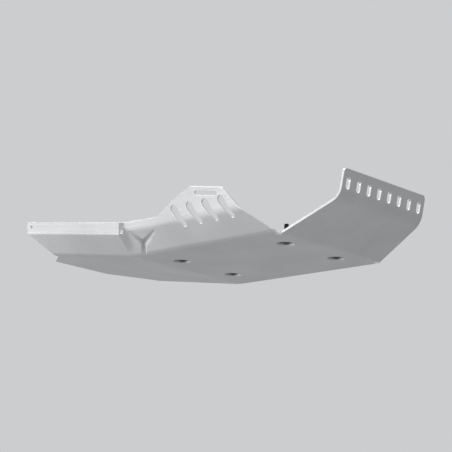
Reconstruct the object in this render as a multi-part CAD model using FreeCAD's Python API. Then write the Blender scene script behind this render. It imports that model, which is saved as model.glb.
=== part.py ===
import FreeCAD, Part
import math
import os
from FreeCAD import Placement, Rotation, Vector

# Engine guard: an aluminium pan folded from one sheet, hung under an engine on four
# rubber-bushed screws. Millimetres, +X forward, +Y left, +Z up. The origin is the middle
# of the screw pattern, on the underside of the flat floor.

# Sheet and floor
sheet = 4.0
fold_half_width = 133.0          # middle to the line where a side wall turns up
bend_run = 2.0                   # flat strip left between the floor blank and a side bend
side_bend_radius = 16.0          # outside radius of the bend from floor to side wall

# Nose: floor sloped up to a rolled lip, and narrower there
front_bend_x = 166.0
front_bend_radius = 24.0
front_angle = 26.0
front_run = 111.0
lip_half_width = 103.0
lip_radius = 30.0
lip_angle = 80.0
lip_run = 46.5
lip_corner_radius = 7.0
nose_corner_radius = 30.0        # side edge where the nose meets the lip
lip_slot_count = 8
lip_slot_pitch = 25.5
lip_slot_width = 9.0
lip_slot_height = 18.0
lip_slot_drop = 22.5             # lip edge down to the middle of a slot

# Tail: floor sloped up behind the flat, with both corners cut off
rear_bend_x = -165.0
rear_bend_radius = 60.0
rear_angle = 8.0
rear_run = 303.0
rear_edge_half_width = 62.0
rear_corner_radius = 18.0

# Wings beside the flat floor: a lower facet, a soft bend and an upper facet
wing_lower_angle = 52.0
wing_lower_run = 53.0
wing_upper_angle = 76.0
wing_bend_radius = 36.0
wing_end_gap = 2.0               # wing's front end to the start of the front bend
wing_knee_back = 50.0            # front end back to where the wing's edge turns up
wing_peak_front_back = 80.0
wing_peak_front_height = 77.0
wing_peak_rear_back = 152.0
wing_peak_rear_height = 89.0
wing_shoulder_back = 197.0
wing_shoulder_height = 72.0
wing_step_back = 238.0           # front end back to where the edge levels out again
wing_step_run = 2.0              # flat left above the upper bend there
wing_tail_run = 4.0              # flat left above the upper bend at the wing's rear end
wing_foot_height = 4.0
knee_radius = 45.0
peak_radius = 8.0
shoulder_radius = 22.0
step_radius = 18.0
relief_radius = 4.5

# Slots through each wing's upper bend, wide end up
wing_slot_count = 4
wing_slot_pitch = 36.0
wing_slot_front_back = 76.0      # front end of the wing back to the middle of the first slot
wing_slot_top_radius = 7.0
wing_slot_foot_radius = 4.5
wing_slot_headroom = 24.5        # peak edge down to the middle of a slot's wide end
wing_slot_fall = 11.0            # upper bend down to the middle of its narrow end
wing_slot_lean = 0.6             # backward lean for each unit of rise
grip_slot_length = 50.0
grip_slot_width = 7.0
grip_slot_inset = 10.0           # peak edge to the middle of the slot

# Tail walls: a wide lower facet and a short upright rim
tail_lower_angle = 42.0
tail_lower_run = 49.0
tail_upper_angle = 76.0
tail_upper_run = 20.5
tail_bend_radius = 9.0
tail_wall_run = 222.0            # rear bend to the wall's rear end, on the fold line
tail_wall_overhang = 42.0        # how much longer the wall is at its rim
tail_hole_radius = 4.0
tail_hole_inset = 14.0

# Corner web between tail wall and wing, and the soft Y-shaped crease pressed beside it
web_half_length = 9.0
corner_hole_radius = 3.5
corner_hole_rise = 50.0          # fold line up the web to the hole's middle
crease_radius = 12.0
crease_depth = 1.7
crease_arm_depth = 0.7           # at the tips of the two arms
crease_fork_swell = 0.35         # extra radius of the hollow where the arms meet
crease_foot_ahead = 24.0
crease_fork_ahead = 36.0
crease_fork_height = 18.0
crease_front_arm_ahead = 70.0
crease_front_arm_height = 31.0
crease_rear_arm_ahead = 17.0
crease_rear_arm_height = 36.0

# Screw seats pressed up into the floor
screw_span_x = 240.0
screw_span_y = 126.0
seat_mouth_radius = 14.8
seat_floor_radius = 12.8
seat_edge_break = 1.5            # sloped edge between the cup and the flats it joins
seat_blend = 5.0                 # flat ring round the mouth
seat_hole_radius = 9.0

# Screw stack, from below
head_recess = 0.5                # screw head above the floor's underside
shank_radius = 4.5
thread_radius = 4.0
thread_length = 11.0             # thread standing above the spacer
thread_point = 0.9
screw_head_radius = 8.0
screw_head_height = 3.4
screw_head_rim = 0.8
screw_crown_radius = 5.0         # flat round the socket
socket_width = 5.0
socket_depth = 2.2
washer_radius = 10.5
washer_thickness = 1.6
grommet_lower_lip = 2.5
grommet_upper_lip = 3.0
grommet_top_radius = 13.0
grommet_edge = 0.8
sleeve_radius = 6.0
top_washer_radius = 12.0
spacer_radius = 8.5
spacer_length = 6.0
spacer_edge = 0.8
screw_clearance = 0.2
grommet_clearance = 0.15

REACH = 120.0                    # how far a cutting prism runs past a wall
X_AXIS = Vector(1, 0, 0)
Y_AXIS = Vector(0, 1, 0)
Z_AXIS = Vector(0, 0, 1)
ORIGIN = Vector(0, 0, 0)
SIDE_VIEW = Placement(ORIGIN, Rotation(X_AXIS, 90))
END_VIEW = Placement(ORIGIN, Rotation(Vector(1, 1, 1), 120))


def cos(angle):
    return math.cos(math.radians(angle))


def sin(angle):
    return math.sin(math.radians(angle))


def tan(angle):
    return math.tan(math.radians(angle))


def step(point, run, angle):
    """Point reached from a plane point by going a run in a direction given in degrees."""
    return (point[0] + run * cos(angle), point[1] + run * sin(angle))


def turn_at(before, corner, after):
    """Signed turn, in radians, of a path at a corner; left turns are positive."""
    first = math.atan2(corner[1] - before[1], corner[0] - before[0])
    second = math.atan2(after[1] - corner[1], after[0] - corner[0])
    return math.remainder(second - first, math.tau)


def rounded_path(points, radii):
    """Edges through plane points, with an arc of the given radius at each inner point."""
    vectors = [Vector(x, y, 0) for x, y in points]
    edges = []
    start = vectors[0]
    for index, radius in enumerate(radii, start=1):
        corner = vectors[index]
        turn = turn_at(points[index - 1], points[index], points[index + 1])
        if radius > 0 and abs(turn) > 1e-6:
            back = (vectors[index - 1] - corner).normalize()
            ahead = (vectors[index + 1] - corner).normalize()
            setback = radius * math.tan(abs(turn) / 2)
            inward = (back + ahead).normalize()
            middle = corner + inward * (radius / math.cos(turn / 2) - radius)
            entry = corner + back * setback
            leave = corner + ahead * setback
            edges.append(Part.makeLine(start, entry))
            edges.append(Part.Arc(entry, middle, leave).toShape())
            start = leave
        else:
            edges.append(Part.makeLine(start, corner))
            start = corner
    edges.append(Part.makeLine(start, vectors[-1]))
    return edges


def beside(points, distance):
    """The same path, moved sideways to its left by a distance."""
    moved = []
    last = len(points) - 1
    for index, (x, y) in enumerate(points):
        start = points[max(index - 1, 0)]
        end = points[max(index, 1)]
        heading = math.atan2(end[1] - start[1], end[0] - start[0])
        half_turn = 0.0
        if 0 < index < last:
            half_turn = turn_at(points[index - 1], points[index], points[index + 1]) / 2
        reach = distance / math.cos(half_turn)
        heading += half_turn
        moved.append((x - reach * math.sin(heading), y + reach * math.cos(heading)))
    return moved


def sheet_wire(points, radii):
    """Closed section of bent sheet: its outer face follows the points, its metal lies left."""
    inner_points = beside(points, sheet)
    inner_radii = []
    for index, radius in enumerate(radii, start=1):
        side = math.copysign(1, turn_at(points[index - 1], points[index], points[index + 1]))
        inner_radii.append(radius - side * sheet if radius > 0 else 0)
    outer = rounded_path(points, radii)
    inner = rounded_path(inner_points[::-1], inner_radii[::-1])
    first_cap = Part.makeLine(Vector(*points[-1], 0), Vector(*inner_points[-1], 0))
    last_cap = Part.makeLine(Vector(*inner_points[0], 0), Vector(*points[0], 0))
    return Part.Wire(outer + [first_cap] + inner + [last_cap])


def prism(wire, low, high, placement):
    """Solid from a plane wire, run from low to high along its normal and then placed."""
    solid = Part.Face(wire).extrude(Vector(0, 0, high - low))
    solid.translate(Vector(0, 0, low))
    solid.Placement = placement.multiply(solid.Placement)
    return solid


def closed_path(points, radii):
    """Closed wire with a rounded corner at every point but the first."""
    return Part.Wire(rounded_path(points + [points[0]], radii))


def slot_path(top, top_radius, foot, foot_radius):
    """Closed wire round two circles of a plane, joined by their outer tangents."""
    span = math.hypot(foot[0] - top[0], foot[1] - top[1])
    heading = math.degrees(math.atan2(foot[1] - top[1], foot[0] - top[0]))
    flare = math.degrees(math.acos((top_radius - foot_radius) / span))
    left_top = Vector(*step(top, top_radius, heading + flare), 0)
    right_top = Vector(*step(top, top_radius, heading - flare), 0)
    left_foot = Vector(*step(foot, foot_radius, heading + flare), 0)
    right_foot = Vector(*step(foot, foot_radius, heading - flare), 0)
    crown = Vector(*step(top, top_radius, heading + 180), 0)
    toe = Vector(*step(foot, foot_radius, heading), 0)
    return Part.Wire([
        Part.makeLine(left_top, left_foot),
        Part.Arc(left_foot, toe, right_foot).toShape(),
        Part.makeLine(right_foot, right_top),
        Part.Arc(right_top, crown, left_top).toShape(),
    ])


def turned(wire):
    """Solid of revolution about Z from a closed wire of radius and height."""
    face = Part.Face(wire)
    face.Placement = SIDE_VIEW
    return face.revolve(ORIGIN, Z_AXIS, 360)


def ring(points):
    """Solid turned about Z from the corners of its section, given as radius and height."""
    return turned(closed_path(points, [0] * (len(points) - 1)))


def tube(inner_radius, outer_radius, low, high):
    """Plain ring between two heights."""
    return ring([(inner_radius, low), (outer_radius, low), (outer_radius, high), (inner_radius, high)])


# Places that several features share
strip_half_width = fold_half_width - side_bend_radius * tan(wing_lower_angle / 2) - bend_run
wing_front = front_bend_x - front_bend_radius * tan(front_angle / 2) - wing_end_gap
wing_tail = rear_bend_x + web_half_length
wing_mean_angle = (wing_lower_angle + wing_upper_angle) / 2
wing_bend_height = wing_lower_run * sin(wing_lower_angle)
wing_bend_setback = wing_bend_radius * tan((wing_upper_angle - wing_lower_angle) / 2)
wing_tail_height = wing_bend_height + (wing_bend_setback + wing_tail_run) * sin(wing_upper_angle)
wing_step_height = wing_bend_height + (wing_bend_setback + wing_step_run) * sin(wing_upper_angle)
tail_mean_angle = (tail_lower_angle + tail_upper_angle) / 2
tail_placement = Placement(ORIGIN, Rotation(Y_AXIS, rear_angle), Vector(rear_bend_x, 0, 0))
lip_start = step((front_bend_x, 0), front_run, front_angle)
lip_edge = step(lip_start, lip_run, lip_angle)
head_top = head_recess + screw_head_height
washer_top = head_top + washer_thickness
seat_depth = washer_top + grommet_lower_lip
seat_top = seat_depth + sheet
cup_wall_angle = math.degrees(math.atan2(seat_depth, seat_mouth_radius - seat_floor_radius))
grommet_top = seat_top + grommet_upper_lip
top_washer_top = grommet_top + washer_thickness
spacer_top = top_washer_top + spacer_length
screw_top = spacer_top + thread_length
shank_hole_radius = shank_radius + screw_clearance


def wall_wire(lower_angle, lower_run, upper_angle, upper_run, upper_radius):
    """Section of a side wall, from the floor blank's edge out and up."""
    fold = (fold_half_width, 0)
    crease = step(fold, lower_run, lower_angle)
    rim = step(crease, upper_run, upper_angle)
    return sheet_wire([(strip_half_width, 0), fold, crease, rim], [side_bend_radius, upper_radius])


def wing_wire(upper_run):
    """Wall section beside the flat floor."""
    return wall_wire(wing_lower_angle, wing_lower_run, wing_upper_angle, upper_run, wing_bend_radius)


def tail_wire():
    """Wall section beside the sloped tail."""
    return wall_wire(tail_lower_angle, tail_lower_run, tail_upper_angle, tail_upper_run, tail_bend_radius)


def wing_rise(height):
    """Distance up the wing, seen square on, of a point at a height above the floor."""
    lower = min(height, wing_bend_height) / sin(wing_lower_angle)
    upper = max(height - wing_bend_height, 0) / sin(wing_upper_angle)
    return (lower + upper) * cos(wing_upper_angle - wing_mean_angle)


def wall_view(angle):
    """Plane that leans at an angle about the fold line and faces a left wall from inside."""
    return Placement(Vector(0, fold_half_width, 0), Rotation(X_AXIS, angle))


def floor_blank():
    """Tail, flat floor, nose and lip: one bent strip, with the tail's corners cut off."""
    tail_end = step((rear_bend_x, 0), rear_run, 180 - rear_angle)
    points = [tail_end, (rear_bend_x, 0), (front_bend_x, 0), lip_start, lip_edge]
    radii = [rear_bend_radius, front_bend_radius, lip_radius]
    strip = prism(sheet_wire(points, radii), -strip_half_width, strip_half_width, SIDE_VIEW)
    corner_x = rear_bend_x - tail_wall_run * cos(rear_angle)
    end_x = rear_bend_x - rear_run * cos(rear_angle) - sheet
    left_side = [
        (lip_edge[0] + REACH, lip_half_width),
        (lip_start[0], lip_half_width),
        (front_bend_x, strip_half_width),
        (corner_x, strip_half_width),
        (end_x, rear_edge_half_width),
    ]
    outline = left_side + [(x, -y) for x, y in reversed(left_side)]
    corners = [nose_corner_radius, 0, 0, rear_corner_radius]
    radii = corners + corners[::-1] + [0]
    strip = strip.common(prism(closed_path(outline, radii), -REACH, REACH, Placement()))
    return strip.cut([lip_offcuts(), lip_slots()])


def lip_offcuts():
    """Two corners trimmed off the lip's edge, cut square to the lip."""
    lean = Rotation(Y_AXIS, 90 - lip_angle)
    view = Placement(Vector(lip_start[0], 0, lip_start[1]), lean).multiply(END_VIEW)
    outline = [
        (0, 0),
        (lip_half_width, 0),
        (lip_half_width, lip_run),
        (-lip_half_width, lip_run),
        (-lip_half_width, 0),
    ]
    rounding = [0, lip_corner_radius, lip_corner_radius, 0]
    blank = prism(closed_path(outline, [0] * len(rounding)), -2 * sheet, sheet, view)
    return blank.cut(prism(closed_path(outline, rounding), -2 * sheet, sheet, view))


def lip_slots():
    """Row of upright slots across the lip."""
    slots = []
    middle = lip_edge[1] - lip_slot_drop
    reach = (lip_slot_height - lip_slot_width) / 2
    for index in range(lip_slot_count):
        across = (index - (lip_slot_count - 1) / 2) * lip_slot_pitch
        top = (across, middle + reach)
        foot = (across, middle - reach)
        outline = slot_path(top, lip_slot_width / 2, foot, lip_slot_width / 2)
        slots.append(prism(outline, lip_start[0] - REACH / 2, lip_edge[0] + REACH, END_VIEW))
    return Part.makeCompound(slots)


def left_wing():
    """Wing beside the flat floor, cut to its outline and slotted."""
    peak = max(wing_peak_front_height, wing_peak_rear_height)
    upper_run = (peak - wing_bend_height) / sin(wing_upper_angle) + sheet
    wall = prism(wing_wire(upper_run), wing_tail, wing_front, END_VIEW)
    outline = [
        (wing_tail, -REACH),
        (wing_front, -REACH),
        (wing_front, wing_rise(wing_foot_height)),
        (wing_front - wing_knee_back, wing_rise(wing_bend_height)),
        (wing_front - wing_peak_front_back, wing_rise(wing_peak_front_height)),
        (wing_front - wing_peak_rear_back, wing_rise(wing_peak_rear_height)),
        (wing_front - wing_shoulder_back, wing_rise(wing_shoulder_height)),
        (wing_front - wing_step_back, wing_rise(wing_step_height)),
        (wing_tail, wing_rise(wing_tail_height)),
    ]
    radii = [0, 0, knee_radius, peak_radius, peak_radius, shoulder_radius, step_radius, 0]
    wall = wall.common(prism(closed_path(outline, radii), -REACH, REACH, wall_view(wing_mean_angle)))
    return wall.cut(wing_slots())


def wing_slots():
    """Leaning slots across the wing's bend, and the narrow slot under its peak."""
    cutters = []
    middle = wing_rise(wing_bend_height)
    peak = wing_rise((wing_peak_front_height + wing_peak_rear_height) / 2)
    climb = peak - wing_slot_headroom - middle
    for index in range(wing_slot_count):
        along = wing_front - wing_slot_front_back - index * wing_slot_pitch
        top = (along - wing_slot_lean * climb, middle + climb)
        foot = (along + wing_slot_lean * wing_slot_fall, middle - wing_slot_fall)
        outline = slot_path(top, wing_slot_top_radius, foot, wing_slot_foot_radius)
        cutters.append(prism(outline, -REACH, REACH, wall_view(wing_mean_angle)))
    front = (wing_front - wing_peak_front_back, wing_rise(wing_peak_front_height))
    rear = (wing_front - wing_peak_rear_back, wing_rise(wing_peak_rear_height))
    slope = math.degrees(math.atan2(front[1] - rear[1], front[0] - rear[0]))
    centre = step(((front[0] + rear[0]) / 2, (front[1] + rear[1]) / 2), grip_slot_inset, slope - 90)
    reach = (grip_slot_length - grip_slot_width) / 2
    ends = [step(centre, reach, slope), step(centre, -reach, slope)]
    outline = slot_path(ends[0], grip_slot_width / 2, ends[1], grip_slot_width / 2)
    cutters.append(prism(outline, -REACH, REACH, wall_view(wing_mean_angle)))
    return Part.makeCompound(cutters)


def left_tail_wall():
    """Wall of the sloped tail: built level behind the rear bend, then tilted with the floor."""
    front = rear_bend_x - web_half_length
    rear = rear_bend_x - tail_wall_run
    rim_rear = rear - tail_wall_overhang
    wall = prism(tail_wire(), rear - REACH, front, END_VIEW)
    crease_rise = tail_lower_run * cos(tail_mean_angle - tail_lower_angle)
    rim_rise = crease_rise + tail_upper_run
    outline = [
        (rear_bend_x, -REACH),
        (rear_bend_x, REACH),
        (rim_rear, REACH),
        (rim_rear, crease_rise),
        (rear, 0),
        (rear, -REACH),
    ]
    view = wall_view(tail_mean_angle)
    wall = wall.common(prism(closed_path(outline, [0, 0, peak_radius, 0, 0]), -REACH, REACH, view))
    hole_rise = (crease_rise + rim_rise) / 2
    hole = Part.makeCylinder(
        tail_hole_radius, 2 * REACH, Vector(rim_rear + tail_hole_inset, hole_rise, -REACH))
    hole.Placement = view.multiply(hole.Placement)
    wall = wall.cut(hole)
    wall.Placement = tail_placement.multiply(wall.Placement)
    return wall


def left_corner_web():
    """Web that closes the corner: the tail wall's section carried to the wing's."""
    rear_wire = tail_wire()
    front_wire = wing_wire(wing_bend_setback + wing_tail_run)
    rear_place = Placement(Vector(rear_bend_x - web_half_length, 0, 0), Rotation())
    rear_wire.Placement = tail_placement.multiply(rear_place).multiply(END_VIEW)
    front_wire.Placement = Placement(Vector(wing_tail, 0, 0), Rotation()).multiply(END_VIEW)
    return Part.makeLoft([rear_wire, front_wire], True, True)


def left_corner_hole():
    """Cutter for the hole that eases the corner, where the creases of wing and tail wall meet."""
    view = wall_view((wing_mean_angle + tail_mean_angle) / 2)
    hole = Part.makeCylinder(corner_hole_radius, 2 * REACH, Vector(rear_bend_x, corner_hole_rise, -REACH))
    hole.Placement = view.multiply(hole.Placement)
    return hole


def crease_point(ahead, height, depth):
    """Middle of a furrow that goes so deep into the wing's lower facet, in that facet's plane."""
    return Vector(rear_bend_x + ahead, height / sin(wing_lower_angle), depth - crease_radius)


def furrow(start, end):
    """Round-ended bar from one point to another."""
    span = end - start
    outline = Part.Wire([
        Part.makeLine(ORIGIN, Vector(crease_radius, 0, 0)),
        Part.makeLine(Vector(crease_radius, 0, 0), Vector(crease_radius, span.Length, 0)),
        Part.Arc(
            Vector(crease_radius, span.Length, 0),
            Vector(*step((0, span.Length), crease_radius, 45), 0),
            Vector(0, span.Length + crease_radius, 0),
        ).toShape(),
        Part.makeLine(Vector(0, span.Length + crease_radius, 0), ORIGIN),
    ])
    bar = turned(outline)
    bar.Placement = Placement(start, Rotation(Z_AXIS, span)).multiply(bar.Placement)
    return bar


def left_crease():
    """Cutters for the pressed crease: a foot and two arms that run out from a hollow fork."""
    fork = crease_point(crease_fork_ahead, crease_fork_height, crease_depth)
    ends = [
        crease_point(crease_foot_ahead, 0, crease_depth),
        crease_point(crease_front_arm_ahead, crease_front_arm_height, crease_arm_depth),
        crease_point(crease_rear_arm_ahead, crease_rear_arm_height, crease_arm_depth),
    ]
    cutters = [furrow(fork, end) for end in ends]
    cutters.append(Part.makeSphere(crease_radius + crease_fork_swell, fork))
    view = wall_view(wing_lower_angle)
    for cutter in cutters:
        cutter.Placement = view.multiply(cutter.Placement)
    return cutters


def screw_places():
    """Name and plan position of each screw."""
    places = []
    for end, x in (("front", screw_span_x / 2), ("rear", -screw_span_x / 2)):
        for side, y in (("left", screw_span_y / 2), ("right", -screw_span_y / 2)):
            places.append((f"{end}_{side}", Vector(x, y, 0)))
    return places


def pressed_seat():
    """Ring of floor pressed up into a shallow cup with a hole in its middle."""
    upper = (seat_floor_radius, seat_depth)
    lower = (seat_mouth_radius, 0)
    points = [
        (seat_hole_radius, seat_depth),
        step(upper, seat_edge_break, 180),
        step(upper, seat_edge_break, -cup_wall_angle),
        step(lower, seat_edge_break, 180 - cup_wall_angle),
        step(lower, seat_edge_break, 0),
        step(lower, seat_blend, 0),
    ]
    return turned(sheet_wire(points, [0] * (len(points) - 2)))


def guard_pan():
    """The whole folded sheet as one solid."""
    pan = floor_blank()
    seats = []
    for _, place in screw_places():
        blank = Part.makeCylinder(seat_mouth_radius + seat_blend, 2 * sheet, place - Vector(0, 0, sheet))
        pan = pan.cut(blank)
        seats.append(pressed_seat().translate(place))
    walls = []
    for wall in (left_wing(), left_tail_wall(), left_corner_web()):
        walls.append(wall)
        walls.append(wall.mirror(ORIGIN, Y_AXIS))
    pan = pan.fuse(seats + walls)
    relief = Part.makeCylinder(relief_radius, 2 * REACH, Vector(wing_front, strip_half_width, -REACH))
    for cutter in [relief, left_corner_hole()] + left_crease():
        pan = pan.cut([cutter, cutter.mirror(ORIGIN, Y_AXIS)])
    return pan.removeSplitter()


def screw():
    """Shoulder screw, head down: coned flange head, hexagon socket, plain shank and thread."""
    body = ring([
        (0, head_recess),
        (screw_crown_radius, head_recess),
        (screw_head_radius, head_top - screw_head_rim),
        (screw_head_radius, head_top),
        (shank_radius, head_top),
        (shank_radius, spacer_top),
        (thread_radius, spacer_top),
        (thread_radius, screw_top - thread_point),
        (thread_radius - thread_point, screw_top),
        (0, screw_top),
    ])
    socket = Part.Face(Part.makePolygon([
        Vector(*step((0, 0), socket_width / 2 / cos(30), 60 * corner), head_recess)
        for corner in range(7)
    ])).extrude(Vector(0, 0, socket_depth))
    return body.cut(socket)


def grommet():
    """Rubber bush with a lip on each side of the seat."""
    lower_lip_radius = seat_floor_radius - seat_edge_break - grommet_clearance
    neck = seat_hole_radius - grommet_clearance
    bore = sleeve_radius + grommet_clearance
    return ring([
        (bore, washer_top),
        (lower_lip_radius, washer_top),
        (lower_lip_radius, seat_depth),
        (neck, seat_depth),
        (neck, seat_top),
        (grommet_top_radius, seat_top),
        (grommet_top_radius, grommet_top - grommet_edge),
        (grommet_top_radius - grommet_edge, grommet_top),
        (bore, grommet_top),
    ])


def spacer():
    """Distance tube with its top edge chamfered."""
    return ring([
        (shank_hole_radius, top_washer_top),
        (spacer_radius, top_washer_top),
        (spacer_radius, spacer_top - spacer_edge),
        (spacer_radius - spacer_edge, spacer_top),
        (shank_hole_radius, spacer_top),
    ])


def screw_stack():
    """Pieces on one screw, by name."""
    return {
        "screw": screw(),
        "washer": tube(shank_hole_radius, washer_radius, head_top, washer_top),
        "grommet": grommet(),
        "sleeve": tube(shank_hole_radius, sleeve_radius, washer_top, grommet_top),
        "top_washer": tube(shank_hole_radius, top_washer_radius, grommet_top, top_washer_top),
        "spacer": spacer(),
    }


os.makedirs("parts", exist_ok=True)
guard_pan().exportStep("parts/guard_pan.step")
stack = screw_stack()
for corner, place in screw_places():
    for piece, shape in stack.items():
        shape.translated(place).exportStep(f"parts/{corner}_{piece}.step")
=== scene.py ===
import math

import bpy
import numpy as np
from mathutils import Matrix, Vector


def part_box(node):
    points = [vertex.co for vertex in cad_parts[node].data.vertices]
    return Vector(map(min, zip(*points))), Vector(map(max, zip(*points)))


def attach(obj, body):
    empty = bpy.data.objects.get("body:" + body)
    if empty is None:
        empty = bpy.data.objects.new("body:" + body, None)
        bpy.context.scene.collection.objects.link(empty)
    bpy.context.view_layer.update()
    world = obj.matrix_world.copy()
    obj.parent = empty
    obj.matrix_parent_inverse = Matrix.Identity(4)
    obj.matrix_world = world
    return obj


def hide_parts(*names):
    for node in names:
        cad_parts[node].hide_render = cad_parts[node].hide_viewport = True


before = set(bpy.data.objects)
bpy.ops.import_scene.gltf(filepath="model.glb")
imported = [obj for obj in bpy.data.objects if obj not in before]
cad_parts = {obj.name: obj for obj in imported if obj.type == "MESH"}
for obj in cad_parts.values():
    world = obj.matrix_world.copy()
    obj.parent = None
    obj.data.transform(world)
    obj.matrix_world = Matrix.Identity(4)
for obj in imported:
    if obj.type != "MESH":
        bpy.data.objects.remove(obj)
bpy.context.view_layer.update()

# Guard sheet: the pan, folded from one 4 mm aluminium sheet with its rear corners welded
# shut, then bead-blasted and clear anodised to a satin silver. Every cut edge is deburred,
# so it shows as a thin line brighter than the faces beside it.
MM = 0.001
SHEET = 4.0 * MM
DEBURR = 0.6 * MM
SAME_PLACE = 0.002 * MM
TINY = 1e-30
SHARP_EDGE = math.radians(32)
SQUARE_EDGE = math.radians(60)
CUT_EDGE_LEAST = 0.6 * SHEET
CUT_EDGE_MOST = 1.3 * SHEET
CUT_EDGE_SHARE = 0.7


def in_scene(name, data):
    """New object in the scene that holds a mesh, a lamp or a lens."""
    thing = bpy.data.objects.new(name, data)
    bpy.context.scene.collection.objects.link(thing)
    return thing


def point_array(mesh):
    """Places of a mesh's points, a row for each."""
    places = np.empty(len(mesh.vertices) * 3)
    mesh.vertices.foreach_get("co", places)
    return places.reshape(-1, 3)


def corner_points(mesh):
    """Number of the point under each corner of a mesh's triangles, three to a triangle."""
    numbers = np.empty(len(mesh.loops), dtype=np.int64)
    mesh.loops.foreach_get("vertex_index", numbers)
    return numbers


def three_cornered(triangles):
    """Whether the three numbers in each row all differ."""
    return (triangles != np.roll(triangles, 1, axis=1)).all(axis=1)


def welded_copy(node, name):
    """New mesh from a node's triangles: corners that agree to 2 micrometres become one
    point, and a triangle that keeps fewer than three points goes."""
    points = point_array(node.data)
    keys = np.round(points / SAME_PLACE).astype(np.int64)
    _, first, place = np.unique(keys, axis=0, return_index=True, return_inverse=True)
    triangles = place.reshape(-1)[corner_points(node.data)].reshape(-1, 3)
    mesh = bpy.data.meshes.new(name)
    mesh.from_pydata(points[first], [], triangles[three_cornered(triangles)])
    return mesh


def triangle_facts(mesh):
    """Area, middle and outward direction of every triangle."""
    count = len(mesh.polygons)
    area, centre, normal = np.empty(count), np.empty(count * 3), np.empty(count * 3)
    mesh.polygons.foreach_get("area", area)
    mesh.polygons.foreach_get("center", centre)
    mesh.polygons.foreach_get("normal", normal)
    return area, centre.reshape(-1, 3), normal.reshape(-1, 3)


def shared_edges(mesh):
    """Every edge between two triangles: its number, the corner from which the first triangle
    runs along it and the one from which the second runs back, whether it is sharp, and whether
    the surface turns outwards there by more than 60 degrees."""
    side = np.empty(len(mesh.loops), dtype=np.int64)
    mesh.loops.foreach_get("edge_index", side)
    order = np.argsort(side, kind="stable")
    edge, start, shared = np.unique(side[order], return_index=True, return_counts=True)
    edge, start = edge[shared == 2], start[shared == 2]
    there, back = order[start], order[start + 1]
    _, centre, normal = triangle_facts(mesh)
    first, second = there // 3, back // 3
    outward = ((centre[second] - centre[first]) * normal[first]).sum(axis=1) < 0
    turn = (normal[first] * normal[second]).sum(axis=1)
    sharp, square = turn < math.cos(SHARP_EDGE), turn < math.cos(SQUARE_EDGE)
    return edge, there, back, sharp, outward & square


def joined(count, one, other):
    """Labels of a row of things in groups: both of each pair take the lower label of the two,
    again and again until nothing changes."""
    label = np.arange(count)
    settled = False
    while not settled:
        before = label.copy()
        lowest = np.minimum(label[one], label[other])
        np.minimum.at(label, one, lowest)
        np.minimum.at(label, other, lowest)
        label = label[label]
        settled = (label == before).all()
    return label


def sheet_faces(mesh):
    """Width of the face that each triangle belongs to, and whether that face is a cut edge of
    the sheet. Triangles that join without a sharp edge are one face, and its width is twice its
    area over the length of its border. A cut edge is about as wide as the sheet is thick, and
    most of its border turns outwards."""
    count = len(mesh.polygons)
    edge, there, back, sharp, outward = shared_edges(mesh)
    first, second = there // 3, back // 3
    face = joined(count, first[~sharp], second[~sharp])
    ends = np.empty(len(mesh.edges) * 2, dtype=np.int64)
    mesh.edges.foreach_get("vertices", ends)
    ends = point_array(mesh)[ends.reshape(-1, 2)[edge]]
    length = np.linalg.norm(ends[:, 1] - ends[:, 0], axis=1) * sharp
    both = np.concatenate([face[first], face[second]])
    border = np.maximum(np.bincount(both, np.tile(length, 2), count), TINY)
    share = np.bincount(both, np.tile(length * outward, 2), count) / border
    width = 2 * np.bincount(face, triangle_facts(mesh)[0], count) / border
    cut = (width > CUT_EDGE_LEAST) & (width < CUT_EDGE_MOST) & (share > CUT_EDGE_SHARE)
    return width[face], cut[face]


def following(corner):
    """The next corner of the same triangle."""
    return corner // 3 * 3 + (corner + 1) % 3


def corner_groups(count, there, back):
    """Labels of triangle corners in groups: at both ends of each edge given, the corners of
    its two triangles belong together."""
    one = np.concatenate([there, following(there)])
    other = np.concatenate([following(back), back])
    return joined(count, one, other)


def mean_facing(area, normal, group):
    """Direction for every corner: the mean direction of its group's triangles by area."""
    facing = np.zeros((len(group), 3))
    np.add.at(facing, group, np.repeat(normal * area[:, None], 3, axis=0))
    length = np.linalg.norm(facing, axis=1, keepdims=True)
    return (facing / np.maximum(length, TINY))[group]


def drawn_in(points, normal, vertex, corner, there, back, stays):
    """Places of all corners, each drawn in along its face from the broken edges beside it: by
    twice the bevel's width, times the sum of the two inward directions, over that sum's square.
    Where that would turn a triangle over, its points are added to those that stay."""
    run = points[vertex[back]] - points[vertex[there]]
    run /= np.linalg.norm(run, axis=1, keepdims=True)
    pull = np.zeros((len(vertex), 3))
    for start, direction in ((there, run), (back, -run)):
        inward = np.cross(normal[start // 3], direction)
        np.add.at(pull, corner[start], inward)
        np.add.at(pull, corner[following(start)], inward)
    strength = np.maximum((pull ** 2).sum(axis=1, keepdims=True), 1)
    shift = (2 * DEBURR * pull / strength)[corner]
    stays = stays.copy()
    settled = False
    while not settled:
        places = points[vertex] + shift * ~stays[vertex, None]
        p, q, r = places.reshape(-1, 3, 3).transpose(1, 0, 2)
        turned = (np.cross(q - p, r - p) * normal).sum(axis=1) <= 0
        beside = vertex.reshape(-1, 3)[turned]
        settled = stays[beside].all()
        stays[beside] = True
    return places, stays


def bevel_triangles(vertex, corner, there, back, capped):
    """Corners of the new triangles: two between both sides of each broken edge, less those that
    shrink to nothing at its end, and one to close each point where three broken edges meet."""
    a, b, c, d = there, following(there), back, following(back)
    strips = np.concatenate([np.stack([b, a, d], axis=-1), np.stack([b, d, c], axis=-1)])
    strips = strips[three_cornered(corner[strips])]
    end = vertex[np.concatenate([a, b])]
    start, stop = np.concatenate([d, b]), np.concatenate([a, c])
    trio = np.flatnonzero(capped[end])
    trio = trio[np.argsort(end[trio], kind="stable")].reshape(-1, 3)
    one, two = start[trio[:, 0]], stop[trio[:, 0]]
    three = corner[start[trio]].sum(axis=1) - corner[one] - corner[two]
    return np.concatenate([strips, np.stack([one, two, three], axis=-1)])


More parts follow.
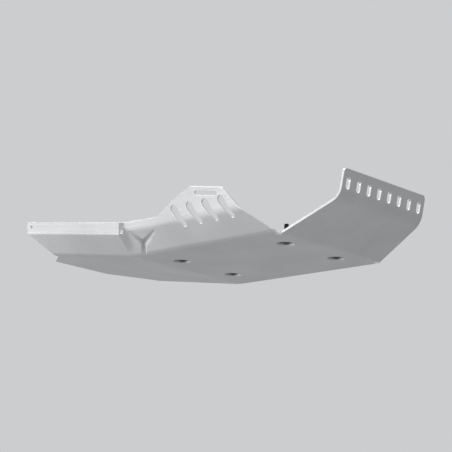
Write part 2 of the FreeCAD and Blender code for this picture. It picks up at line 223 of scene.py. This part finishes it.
def deburred(source, name):
    """Object with the sheet's cut edges broken to a narrow bevel. Both sides of each edge are
    drawn in and new triangles join them; these and the cut edges get the second finish. Points
    where fewer than two or more than three broken edges meet stay. Every corner is shaded by
    the mean direction of its own smooth face, so a bevel looks round."""
    points, vertex = point_array(source), corner_points(source)
    area, _, normal = triangle_facts(source)
    width, cut = sheet_faces(source)
    _, there, back, sharp, broken = shared_edges(source)
    first, second = there // 3, back // 3
    broken &= cut[first] | cut[second]
    broken &= np.minimum(width[first], width[second]) > CUT_EDGE_LEAST
    corner = corner_groups(len(vertex), there[~broken], back[~broken])
    smooth = corner_groups(len(vertex), there[~sharp], back[~sharp])
    facing = mean_facing(area, normal, smooth)

    there, back = there[broken], back[broken]
    meeting = np.bincount(vertex[np.concatenate([there, back])], minlength=len(points))
    loose_end = (meeting < 2) | (meeting > 3)
    places, stays = drawn_in(points, normal, vertex, corner, there, back, loose_end)
    _, first_corner = np.unique(vertex, return_index=True)
    corner = np.where(stays[vertex], first_corner[vertex], corner)
    bevels = bevel_triangles(vertex, corner, there, back, (meeting == 3) & ~stays)
    corners = np.concatenate([np.arange(len(vertex)).reshape(-1, 3), bevels])

    used, place = np.unique(corner[corners], return_inverse=True)
    mesh = bpy.data.meshes.new(name)
    mesh.from_pydata(places[used], [], place.reshape(-1, 3))
    bright = np.concatenate([cut, np.ones(len(bevels), dtype=bool)]).astype(np.int32)
    mesh.polygons.foreach_set("material_index", bright)
    mesh.shade_smooth()
    mesh.normals_split_custom_set(facing[corners.ravel()])
    return in_scene(name, mesh)


CREASE_LEAN = math.radians(52)
CREASE_FOLD = 133 * MM
CREASE_REAR, CREASE_FRONT = -160 * MM, -80 * MM
CREASE_FOOT, CREASE_TOP = 6.3 * MM, 35.4 * MM
CREASE_DEEPEST, CREASE_LIMIT = 1.7 * MM, 2.2 * MM


def mark_crease(mesh):
    """Point attribute with the depth of the pressed crease, 1 at its deepest: how far a point
    lies behind the plane that leans out at 52 degrees from the fold line of its side."""
    x, y, z = point_array(mesh).T
    out = np.abs(y) - CREASE_FOLD
    depth = z * math.cos(CREASE_LEAN) - out * math.sin(CREASE_LEAN)
    pressed = (x > CREASE_REAR) & (x < CREASE_FRONT) & (depth < CREASE_LIMIT)
    pressed &= (z > CREASE_FOOT) & (z < CREASE_TOP)
    crease = mesh.attributes.new("crease", "FLOAT", "POINT")
    share = np.where(pressed, np.clip(depth / CREASE_DEEPEST, 0, 1), 0)
    crease.data.foreach_set("value", share)


NOSE_FOLD = 166 * MM
TAIL_FOLD = -165 * MM
TAIL_RISE = math.radians(8)


def mark_rolling(mesh):
    """Point attribute with a point's place on the sheet while it was still flat: its place along
    the guard, and its distance from the middle line lengthened by its height over the floor
    line, which climbs behind the tail's fold. Ahead of the nose's fold there are no walls to
    lay flat."""
    x, y, z = point_array(mesh).T
    floor_line = math.tan(TAIL_RISE) * np.clip(TAIL_FOLD - x, 0, None)
    height = np.where(x < NOSE_FOLD, z - floor_line, 0)
    flat = np.stack([x, y + np.sign(y) * height, np.zeros_like(z)], axis=-1)
    rolling = mesh.attributes.new("flat_place", "FLOAT_VECTOR", "POINT")
    rolling.data.foreach_set("vector", flat.ravel())


def finish(name):
    """New material: its node tree, its shader and the Object coordinates to pattern it by."""
    material = bpy.data.materials.new(name)
    material.use_nodes = True
    tree = material.node_tree
    coordinates = tree.nodes.new("ShaderNodeTexCoord").outputs["Object"]
    return material, tree, tree.nodes["Principled BSDF"], coordinates


def marked(tree, name, output):
    """What a mesh's point attribute of this name says."""
    node = tree.nodes.new("ShaderNodeAttribute")
    node.attribute_name = name
    return node.outputs[output]


def stretched(tree, coordinates, scale):
    """The same coordinates multiplied by a scale along each axis."""
    mapping = tree.nodes.new("ShaderNodeMapping")
    mapping.inputs["Scale"].default_value = scale
    tree.links.new(coordinates, mapping.inputs["Vector"])
    return mapping.outputs["Vector"]


def cloud(tree, coordinates, scale, detail):
    """Smooth random field from 0 to 1, with so many cells to the metre."""
    noise = tree.nodes.new("ShaderNodeTexNoise")
    noise.inputs["Scale"].default_value = scale
    noise.inputs["Detail"].default_value = detail
    tree.links.new(coordinates, noise.inputs["Vector"])
    return noise.outputs["Fac"]


FIELD_LOW, FIELD_HIGH = 0.3, 0.7


def spread(tree, field, low, high):
    """The common stretch of a field, 0.3 to 0.7, carried to low and high and held beyond."""
    node = tree.nodes.new("ShaderNodeMapRange")
    node.inputs["From Min"].default_value = FIELD_LOW
    node.inputs["From Max"].default_value = FIELD_HIGH
    node.inputs["To Min"].default_value = low
    node.inputs["To Max"].default_value = high
    tree.links.new(field, node.inputs["Value"])
    return node.outputs["Result"]


def shade(tree, field, dark, light):
    """Colour that runs from dark to light over the same stretch of a field."""
    ramp = tree.nodes.new("ShaderNodeValToRGB")
    first, last = ramp.color_ramp.elements
    first.position, first.color = FIELD_LOW, (*dark, 1)
    last.position, last.color = FIELD_HIGH, (*light, 1)
    tree.links.new(field, ramp.inputs["Fac"])
    return ramp.outputs["Color"]


def relief(tree, field, height, below=None):
    """Bumped normal of a field that stands so many metres high, over another relief."""
    bump = tree.nodes.new("ShaderNodeBump")
    bump.inputs["Distance"].default_value = height
    tree.links.new(field, bump.inputs["Height"])
    if below is not None:
        tree.links.new(below, bump.inputs["Normal"])
    return bump.outputs["Normal"]


def wire(tree, shader, colour, roughness, normal, metallic):
    """A shader that takes its colour, roughness and relief from patterns."""
    tree.links.new(colour, shader.inputs["Base Color"])
    tree.links.new(roughness, shader.inputs["Roughness"])
    tree.links.new(normal, shader.inputs["Normal"])
    shader.inputs["Metallic"].default_value = metallic


def blasted_aluminium():
    """Satin anodised sheet: broad cloudy tone, long faint rolling streaks, blasted grain, and a
    darker tone down in the pressed creases that grows with their depth."""
    material, tree, shader, coordinates = finish("blasted_aluminium")
    tone = cloud(tree, coordinates, scale=11, detail=4)
    flat_place = stretched(tree, marked(tree, "flat_place", "Vector"), scale=(5, 240, 1))
    streak = cloud(tree, flat_place, scale=1, detail=3)
    grain = cloud(tree, coordinates, scale=1500, detail=3)
    face_tone = shade(tree, tone, dark=(0.475, 0.477, 0.480), light=(0.53, 0.532, 0.535))
    crease_tone = shade(tree, tone, dark=(0.27, 0.275, 0.285), light=(0.32, 0.325, 0.335))
    # Darker tone in the pressed creases, mixed in by the crease's depth.
    crease_darkened = tree.nodes.new("ShaderNodeMix")
    crease_darkened.data_type = "RGBA"
    tree.links.new(marked(tree, "crease", "Fac"), crease_darkened.inputs["Factor"])
    tree.links.new(face_tone, crease_darkened.inputs["A"])
    tree.links.new(crease_tone, crease_darkened.inputs["B"])
    roughness = spread(tree, streak, low=0.48, high=0.56)
    rolled = relief(tree, streak, height=0.02 * MM)
    blasted = relief(tree, grain, height=0.06 * MM, below=rolled)
    wire(tree, shader, crease_darkened.outputs["Result"], roughness, blasted, metallic=1.0)
    return material


def deburred_edge():
    """Bare metal of a cut edge: brighter, with short scratches across the sheet."""
    material, tree, shader, coordinates = finish("deburred_edge")
    scratch = cloud(tree, stretched(tree, coordinates, scale=(900, 900, 120)), scale=1, detail=2)
    colour = shade(tree, scratch, dark=(0.78, 0.79, 0.80), light=(0.90, 0.905, 0.91))
    roughness = spread(tree, scratch, low=0.30, high=0.42)
    wire(tree, shader, colour, roughness, relief(tree, scratch, height=0.03 * MM), metallic=1.0)
    return material


sheet_finish = blasted_aluminium()
square_edged = welded_copy(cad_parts["guard_pan"], "square_edged_sheet")
guard_sheet = deburred(square_edged, "guard_sheet")
bpy.data.meshes.remove(square_edged)
guard_sheet.data.materials.append(sheet_finish)
guard_sheet.data.materials.append(deburred_edge())
mark_crease(guard_sheet.data)
mark_rolling(guard_sheet.data)
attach(guard_sheet, "root")
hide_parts("guard_pan")
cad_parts["guard_pan"].material_slots[0].material = sheet_finish

# Grommets: four moulded rubber bushes, one snapped into the hole of each pressed seat. Each has
# a lip above and below the sheet and keeps the engine's shake out of the guard.
AROUND = 72
ARC_STEPS = 5
SEATS = ("front_left", "front_right", "rear_left", "rear_right")
BUSH_BORE, BUSH_NECK, LOWER_LIP, UPPER_LIP = 6.15, 8.85, 11.15, 13.0
BUSH_FOOT, SEAT_UNDERSIDE, SEAT_TOP, BUSH_TOP = 5.5, 8.0, 12.0, 15.0


def rounded_section(corners, radii):
    """Closed section, radius by height in millimetres, with an arc in place of each corner: the
    spoke from the arc's middle turns evenly from one side's touching point to the next side's."""
    points = np.array(corners, float)
    radii = np.array(radii, float)[:, None]
    back = np.roll(points, 1, axis=0) - points
    back /= np.linalg.norm(back, axis=1, keepdims=True)
    ahead = np.roll(points, -1, axis=0) - points
    ahead /= np.linalg.norm(ahead, axis=1, keepdims=True)
    half = np.arccos((back * ahead).sum(axis=1, keepdims=True)) / 2
    inward = back + ahead
    inward /= np.linalg.norm(inward, axis=1, keepdims=True)
    middle = points + inward * radii / np.sin(half)
    first = (points + back * radii / np.tan(half) - middle)[:, None]
    last = (points + ahead * radii / np.tan(half) - middle)[:, None]
    turn = (np.pi - 2 * half)[:, None]
    share = np.linspace(0, 1, ARC_STEPS)[None, :, None]
    spoke = (np.sin((1 - share) * turn) * first + np.sin(share * turn) * last) / np.sin(turn)
    return (middle[:, None] + spoke).reshape(-1, 2)


def turned_grid(radius, height, place):
    """Points on circles about an upright axis: each row of radius and height, in millimetres,
    goes once round at even angles."""
    angle = np.linspace(0, 2 * np.pi, AROUND, endpoint=False)
    radius, height = np.broadcast_arrays(radius, height, subok=False)
    across = [place[0] + MM * radius * np.cos(angle), place[1] + MM * radius * np.sin(angle)]
    return np.stack(across + [MM * height + 0 * angle], axis=-1)


def skin(name, grid, poles=()):
    """Object with a face between each four neighbours of a grid that closes round its columns.
    With no poles the rows close too; with two, a fan joins the first row to one and the last
    row to the other. Its UV map runs once round by the distance along the rows, in metres. Flat
    faces stay flat in shading, and the rounded edges take up the turn."""
    rows, columns = grid.shape[:2]
    row = np.arange(rows - 1 if poles else rows)[:, None]
    column = np.arange(columns)[None, :]
    near, far = row * columns, (row + 1) % rows * columns
    beside = (column + 1) % columns
    quads = np.stack([near + column, near + beside, far + beside, far + column], axis=-1)
    faces = quads.reshape(-1, 4).tolist()
    travel = np.linalg.norm(np.diff(grid[:, 0], axis=0, append=grid[:1, 0]), axis=1)
    along = np.r_[0, np.cumsum(travel)]
    u = np.stack([column, column + 1, column + 1, column], axis=-1) / columns
    v = np.stack([along[row], along[row], along[row + 1], along[row + 1]], axis=-1)
    uv = [np.stack(np.broadcast_arrays(u, v), axis=-1).reshape(-1, 2)]
    points = grid.reshape(-1, 3)
    if poles:
        points = np.r_[points, np.array(poles)]
        spin = np.arange(columns)
        step = (spin + 1) % columns
        pole = np.full(columns, rows * columns)
        last = (rows - 1) * columns
        faces += np.stack([pole, step, spin], axis=-1).tolist()
        faces += np.stack([pole + 1, last + spin, last + step], axis=-1).tolist()
        fan = np.stack([spin + 0.5, spin, spin + 1], axis=-1) / columns
        for height in (along[0], along[rows - 1]):
            uv.append(np.stack([fan, np.full(fan.shape, height)], axis=-1).reshape(-1, 2))
    mesh = bpy.data.meshes.new(name)
    mesh.from_pydata(points, [], faces)
    mesh.uv_layers.new(name="wrap").data.foreach_set("uv", np.concatenate(uv).ravel())
    mesh.shade_smooth()
    mesh.set_sharp_from_angle(angle=SHARP_EDGE)
    piece = in_scene(name, mesh)
    piece.modifiers.new("flat_faces", "WEIGHTED_NORMAL").keep_sharp = True
    return piece


def seat_place(node):
    """Plan position of a piece on its screw: the middle of its box."""
    low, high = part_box(node)
    return (np.array(low) + np.array(high))[:2] / 2


def stand_for(piece, node, material):
    """The piece takes the node's place, its finish and its ride."""
    piece.data.materials.append(material)
    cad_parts[node].material_slots[0].material = material
    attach(piece, "root")
    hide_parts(node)


def ring_on_each_screw(section, node_kind, piece_kind, material):
    """Four turned rings of one section, each in place of the node of its kind on that screw."""
    for seat in SEATS:
        node = f"{seat}_{node_kind}"
        ring = turned_grid(section[:, :1], section[:, 1:], seat_place(node))
        stand_for(skin(f"{seat}_{piece_kind}", ring), node, material)


def moulded_rubber():
    """Matt black rubber: mould grain, a little grey bloom in broad patches."""
    material, tree, shader, coordinates = finish("moulded_rubber")
    bloom = cloud(tree, coordinates, scale=140, detail=3)
    grain = cloud(tree, coordinates, scale=2600, detail=2)
    colour = shade(tree, bloom, dark=(0.020, 0.020, 0.021), light=(0.042, 0.041, 0.040))
    roughness = spread(tree, bloom, low=0.58, high=0.76)
    wire(tree, shader, colour, roughness, relief(tree, grain, height=0.08 * MM), metallic=0.0)
    return material


bush_section = rounded_section(
    [
        (BUSH_BORE, BUSH_FOOT), (LOWER_LIP, BUSH_FOOT),
        (LOWER_LIP, SEAT_UNDERSIDE), (BUSH_NECK, SEAT_UNDERSIDE),
        (BUSH_NECK, SEAT_TOP), (UPPER_LIP, SEAT_TOP),
        (UPPER_LIP, BUSH_TOP), (BUSH_BORE, BUSH_TOP),
    ],
    radii=[0.30, 0.90, 0.40, 0.25, 0.25, 0.40, 1.10, 0.30],
)
ring_on_each_screw(bush_section, "grommet", "bush", moulded_rubber())

# Sleeves: a short steel tube inside each bush, cut from drawn tube and zinc plated. The screw
# is tightened against it, so the rubber is never crushed.
SCREW_BORE = 4.7
SLEEVE_RIM = 6.0


def plated_steel():
    """Zinc plate over turned steel: fine marks run round the piece, tone drifts a little."""
    material, tree, shader, coordinates = finish("plated_steel")
    wrap = tree.nodes.new("ShaderNodeUVMap")
    wrap.uv_map = "wrap"
    round_it = stretched(tree, wrap.outputs["UV"], scale=(2, 5200, 1))
    marks = cloud(tree, round_it, scale=1, detail=3)
    drift = cloud(tree, coordinates, scale=90, detail=3)
    colour = shade(tree, drift, dark=(0.54, 0.545, 0.55), light=(0.67, 0.665, 0.65))
    roughness = spread(tree, marks, low=0.26, high=0.42)
    wire(tree, shader, colour, roughness, relief(tree, marks, height=0.02 * MM), metallic=1.0)
    return material


def plain_ring(rim, low, high, edge):
    """Section of a plain ring that fits the screw, with every edge rounded alike."""
    corners = [(SCREW_BORE, low), (rim, low), (rim, high), (SCREW_BORE, high)]
    return rounded_section(corners, radii=[edge] * 4)


plate = plated_steel()
sleeve_section = plain_ring(SLEEVE_RIM, BUSH_FOOT, BUSH_TOP, edge=0.25)
ring_on_each_screw(sleeve_section, "sleeve", "tube", plate)

# Upper washers: a wide punched steel disc on top of each bush, zinc plated. Punching leaves
# its edges a little round.
UPPER_WASHER_RIM = 12.0
UPPER_WASHER_TOP = 16.6
upper_washer_section = plain_ring(UPPER_WASHER_RIM, BUSH_TOP, UPPER_WASHER_TOP, edge=0.35)
ring_on_each_screw(upper_washer_section, "top_washer", "bush_washer", plate)

# Spacers: a turned steel distance tube on each upper washer, zinc plated, with its top edge
# chamfered where it meets the engine.
SPACER_RIM = 8.5
SPACER_TOP = 22.6
SPACER_CHAMFER = 0.8
spacer_section = rounded_section(
    [
        (SCREW_BORE, UPPER_WASHER_TOP), (SPACER_RIM, UPPER_WASHER_TOP),
        (SPACER_RIM, SPACER_TOP - SPACER_CHAMFER), (SPACER_RIM - SPACER_CHAMFER, SPACER_TOP),
        (SCREW_BORE, SPACER_TOP),
    ],
    radii=[0.20, 0.30, 0.20, 0.20, 0.30],
)
ring_on_each_screw(spacer_section, "spacer", "distance_tube", plate)

# Screws: shoulder screws with a coned flange head and a hexagon socket, cold headed, thread
# rolled, and coated black. They come from below and run up through the whole stack.
SHANK, CROWN, FLANGE = 4.5, 5.0, 8.0
HEAD_FOOT, FLANGE_FOOT, HEAD_TOP = 0.5, 3.1, 3.9
SOCKET_WIDTH, SOCKET_RIM = 5.0, 3.05
SOCKET_MOUTH, SOCKET_FLOOR, SOCKET_POINT = 0.8, 2.7, 3.2
PITCH, ROWS_A_PITCH = 1.25, 10
CREST, ROOT = 4.0, 3.233
FLANK_SLOPE, ROOT_FLAT = 1.35, 0.2
GROOVE, RUN_OUT = 0.7, 0.8
SCREW_TOP, TIP, TIP_CONE = 33.6, 3.1, 0.9


def hexagon(width):
    """Radius of a hexagon of this width at every angle: half the width over the cosine of the
    angle from the middle of the nearest flat."""
    angle = np.linspace(0, 2 * np.pi, AROUND, endpoint=False)
    return width / 2 / np.cos(angle % (np.pi / 3) - np.pi / 6)


def rolled_thread(low, high):
    """Rows of radius and height: the radius follows a wave of flat crests and roots that climbs
    one pitch a turn, starts from a relief groove and is cut by the coned end."""
    height = np.arange(low, high, PITCH / ROWS_A_PITCH)[:, None]
    turn = np.linspace(0, 1, AROUND, endpoint=False)
    wave = 2 * np.abs((height / PITCH - turn) % 1 - 0.5)
    started = np.clip((height - low - GROOVE) / RUN_OUT, 0, 1)
    flank = np.clip(FLANK_SLOPE * wave - ROOT_FLAT, 0, 1) * started
    cone = CREST - np.clip(height - high + TIP_CONE, 0, TIP_CONE)
    return np.minimum(ROOT + (CREST - ROOT) * flank, cone), height


def coated_screw():
    """Black coating on steel: slightly patchy, with a soft sheen."""
    material, tree, shader, coordinates = finish("coated_screw")
    patch = cloud(tree, coordinates, scale=260, detail=4)
    grain = cloud(tree, coordinates, scale=3200, detail=2)
    colour = shade(tree, patch, dark=(0.040, 0.040, 0.043), light=(0.085, 0.083, 0.082))
    roughness = spread(tree, patch, low=0.34, high=0.50)
    wire(tree, shader, colour, roughness, relief(tree, grain, height=0.03 * MM), metallic=0.6)
    return material


black = coated_screw()
# The last corner only closes the section, so its arc is left off.
head_section = rounded_section(
    [
        (SOCKET_RIM, HEAD_FOOT), (CROWN, HEAD_FOOT), (FLANGE, FLANGE_FOOT), (FLANGE, HEAD_TOP),
        (SHANK, HEAD_TOP), (SHANK, SPACER_TOP), (SOCKET_RIM, SPACER_TOP),
    ],
    radii=[0.10, 0.90, 0.35, 0.25, 0.30, 0.25, 0.05],
)[:-ARC_STEPS]
socket = hexagon(SOCKET_WIDTH)[None]
head_radius = np.repeat(head_section[:, :1], AROUND, axis=1)
thread_radius, thread_height = rolled_thread(SPACER_TOP, SCREW_TOP)
tip_radius = np.full((1, AROUND), TIP)
screw_radius = np.concatenate([socket, socket, head_radius, thread_radius, tip_radius])
screw_height = np.concatenate([
    [[SOCKET_FLOOR], [SOCKET_MOUTH]], head_section[:, 1:], thread_height, [[SCREW_TOP]],
])
for seat in SEATS:
    node = f"{seat}_screw"
    place = seat_place(node)
    poles = [(*place, SOCKET_POINT * MM), (*place, SCREW_TOP * MM)]
    bolt = skin(f"{seat}_shoulder_screw", turned_grid(screw_radius, screw_height, place), poles)
    stand_for(bolt, node, black)

# Head washers: a punched steel disc under each screw head, coated black like the screw. It
# carries the lower lip of the bush.
HEAD_WASHER_RIM = 10.5
head_washer_section = plain_ring(HEAD_WASHER_RIM, HEAD_TOP, BUSH_FOOT, edge=0.35)
ring_on_each_screw(head_washer_section, "washer", "head_washer", black)

# Stage: a wide pale floor well below the guard, a soft box overhead, two with grids at its
# side and behind it, and an even pale surround that the metal mirrors too.
FLOOR_HEIGHT = -1.5
FLOOR_REACH = 24.0
floor_mesh = bpy.data.meshes.new("floor")
floor_corners = np.array([(-1, -1), (1, -1), (1, 1), (-1, 1)]) * FLOOR_REACH
floor_mesh.from_pydata(np.c_[floor_corners, np.full(4, FLOOR_HEIGHT)], [], [(0, 1, 2, 3)])
floor = in_scene("floor", floor_mesh)
floor_paint, tree, shader, coordinates = finish("floor_paint")
drift = cloud(tree, coordinates, scale=3, detail=3)
tone = shade(tree, drift, dark=(0.745, 0.75, 0.755), light=(0.775, 0.78, 0.785))
tree.links.new(tone, shader.inputs["Base Color"])
shader.inputs["Roughness"].default_value = 0.9
floor_mesh.materials.append(floor_paint)

world = bpy.data.worlds.new("studio")
bpy.context.scene.world = world
world.use_nodes = True
surround = world.node_tree.nodes["Background"]
surround.inputs["Color"].default_value = (0.97, 0.985, 1.0, 1)
surround.inputs["Strength"].default_value = 0.62


def soft_box(name, place, target, size, power, angle):
    """Area lamp at a place, turned to face a target, with its light held within an angle."""
    lamp = bpy.data.lights.new(name, "AREA")
    lamp.shape = "RECTANGLE"
    lamp.size, lamp.size_y = size
    lamp.energy = power
    lamp.spread = math.radians(angle)
    box = in_scene(name, lamp)
    box.location = place
    view = Vector(target) - Vector(place)
    box.rotation_euler = view.to_track_quat("-Z", "Y").to_euler()
    box.visible_camera = False


soft_box("overhead_box", place=(-0.9, -0.6, 2.4), target=(-0.6, -0.3, 0),
         size=(3.0, 2.6), power=33, angle=180)
soft_box("side_box", place=(-1.5, -2.7, -0.2), target=(0, -0.15, 0.05),
         size=(2.4, 1.8), power=11, angle=120)
soft_box("rear_box", place=(-2.8, -1.0, -0.6), target=(-0.3, -0.1, 0),
         size=(2.0, 1.0), power=8, angle=120)

# Camera: below the floor line of the guard, ahead of it and to its right, as in the
# photograph, turned to the guard and drawn in until it fills the frame.
EYE = np.array((1.720, -1.814, -0.558))
AIM = np.array((-0.0600, -0.0208, 0.0642))
UPWARD = np.array((0.131, -0.199, 0.971))
SENSOR_WIDTH = 36
FOCAL_LENGTH = 120
back = EYE - AIM
back /= np.linalg.norm(back)
right = np.cross(UPWARD, back)
right /= np.linalg.norm(right)
lens = bpy.data.cameras.new("camera")
lens.sensor_width = SENSOR_WIDTH
lens.lens = FOCAL_LENGTH
camera = in_scene("camera", lens)
pose = np.eye(4)
pose[:3, :] = np.c_[right, np.cross(back, right), back, EYE]
camera.matrix_world = Matrix(pose)
bpy.context.scene.camera = camera
bpy.context.scene.view_settings.view_transform = "Standard"
